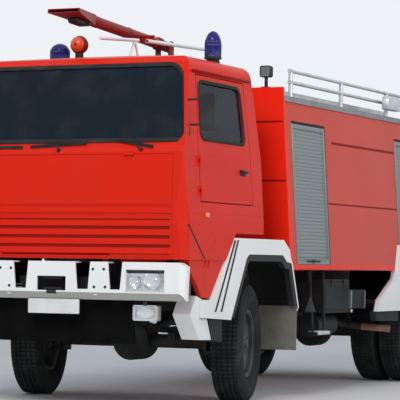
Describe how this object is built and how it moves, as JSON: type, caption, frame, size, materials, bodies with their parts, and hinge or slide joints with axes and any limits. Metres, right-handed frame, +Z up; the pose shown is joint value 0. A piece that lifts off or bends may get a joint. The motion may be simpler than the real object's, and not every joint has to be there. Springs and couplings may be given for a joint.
{
  "type": "fire engine with roof monitor",
  "caption": "Fire engine with a short cab over the engine, locker body with roller shutters, white mudguards and bumper, roof rails and a turning monitor.",
  "frame": {"origin": "on the ground under the centre of the vehicle's bounding box", "axes": "+Z up, -Y towards the front of the vehicle, +X to the vehicle's left"},
  "size_m": [2.784, 7.2, 3.4276],
  "materials": {
    "paint_red": "gloss paint",
    "paint_white": "gloss paint",
    "chassis_paint": "satin black paint",
    "tank_paint": "satin dark grey paint",
    "rim_paint": "satin dark grey paint",
    "shutter": "anodised slats",
    "aluminium": "mill finish",
    "glass": "tinted",
    "lamp_glass": "ribbed lens",
    "rear_lamp": "clear red lens",
    "beacon_blue": "translucent blue dome",
    "siren_red": "orange red gloss",
    "step_grey": "satin grey paint",
    "lip_rubber": "extruded rubber",
    "interior": "grained",
    "seat_cover": "woven",
    "wheel_grip": "smooth",
    "tyre": "tread rubber",
    "flap_rubber": "dusty sheet rubber",
    "engine_metal": "oily casting",
    "axle_metal": "painted casting"
  },
  "bodies": {
    "chassis": {"frame": "chassis_paint", "front_axle": "axle_metal", "rear_axle": "axle_metal", "leaf_springs": "axle_metal", "engine": "engine_metal", "driveline": "axle_metal", "front_bumper": "paint_white", "front_lamps": "lamp_glass", "front_coupling": "chassis_paint", "cab_shell": "paint_red", "cab_glass": "glass", "dashboard": "interior", "cab_mounts": "chassis_paint", "steering_wheel": "wheel_grip", "seats": "seat_cover", "mirrors": "interior", "corner_posts": "paint_white", "tread_boxes": "step_grey", "cab_skirts": "paint_red", "arch_lips": "lip_rubber", "splash_shield": "chassis_paint", "radiator": "chassis_paint", "roof_stay": "aluminium", "front_mudguards": "paint_white", "rear_mudguards": "paint_white", "mudflaps": "flap_rubber", "body_frame": "paint_red", "body_side_left": "paint_red", "body_side_right": "paint_red", "roller_shutters": "shutter", "body_roof": "aluminium", "side_boxes": "tank_paint", "fuel_tank": "tank_paint", "air_tank": "tank_paint", "stirrup_steps": "chassis_paint", "rear_beam": "chassis_paint", "rear_lamps": "rear_lamp", "roof_rails": "aluminium", "rear_ladder": "aluminium", "roof_ladder": "aluminium", "beacons": "beacon_blue", "siren": "siren_red", "monitor_base": "paint_red"},
    "front_flap": {"front_flap": "paint_red"},
    "left_door": {"left_door": "paint_red", "left_door_glass": "glass"},
    "right_door": {"right_door": "paint_red", "right_door_glass": "glass"},
    "monitor_turret": {"monitor_turret": "paint_red"},
    "monitor_barrel": {"monitor_barrel": "paint_red"},
    "steer_left": {"knuckle_left": "axle_metal"},
    "steer_right": {"knuckle_right": "axle_metal"},
    "wheel_front_left": {"front_left_tyre": "tyre", "front_left_rim": "rim_paint"},
    "wheel_front_right": {"front_right_tyre": "tyre", "front_right_rim": "rim_paint"},
    "wheel_rear_left": {"rear_left_tyre": "tyre", "rear_left_rim": "rim_paint"},
    "wheel_rear_right": {"rear_right_tyre": "tyre", "rear_right_rim": "rim_paint"}
  },
  "joints": [
    {"name": "steering", "type": "hinge", "parent": "chassis", "child": "steer_left", "pos_m": [0.81, -2.005, 0.522], "axis": [0, 0, 1], "range_deg": [-45, 20]},
    {"name": "steering_right", "type": "hinge", "parent": "chassis", "child": "steer_right", "pos_m": [-0.81, -2.005, 0.522], "axis": [0, 0, 1], "range_deg": [-45, 20]},
    {"name": "front_left_spin", "type": "hinge", "parent": "steer_left", "child": "wheel_front_left", "pos_m": [0.98085, -1.96712, 0.522], "axis": [0.9763, 0.2164, 0], "continuous": true},
    {"name": "front_right_spin", "type": "hinge", "parent": "steer_right", "child": "wheel_front_right", "pos_m": [-0.98085, -2.04288, 0.522], "axis": [0.9763, 0.2164, 0], "continuous": true},
    {"name": "rear_left_spin", "type": "hinge", "parent": "chassis", "child": "wheel_rear_left", "pos_m": [0.911, 2.295, 0.522], "axis": [1, 0, 0], "continuous": true},
    {"name": "rear_right_spin", "type": "hinge", "parent": "chassis", "child": "wheel_rear_right", "pos_m": [-0.911, 2.295, 0.522], "axis": [1, 0, 0], "continuous": true},
    {"name": "left_door_hinge", "type": "hinge", "parent": "chassis", "child": "left_door", "pos_m": [1.22624, -3.2455, 1.80089], "axis": [0.0635, 0, -0.998], "range_deg": [0, 70]},
    {"name": "right_door_hinge", "type": "hinge", "parent": "chassis", "child": "right_door", "pos_m": [-1.22624, -3.2455, 1.80089], "axis": [0.0635, 0, 0.998], "range_deg": [0, 70]},
    {"name": "front_flap_hinge", "type": "hinge", "parent": "chassis", "child": "front_flap", "pos_m": [0, -3.56496, 2.1255], "axis": [-1, 0, 0], "range_deg": [0, 80]},
    {"name": "monitor_turn", "type": "hinge", "parent": "chassis", "child": "monitor_turret", "pos_m": [-0.16, -1.18, 3.083], "axis": [0, 0, 1], "range_deg": [-170, 170]},
    {"name": "monitor_elevation", "type": "hinge", "parent": "monitor_turret", "child": "monitor_barrel", "pos_m": [-0.16, -1.18, 3.295], "axis": [-1, 0, 0], "range_deg": [0, 47]}
  ],
  "couplings": [
    {"joint": "steering_right", "follows": "steering", "ratio": 1}
  ]
}
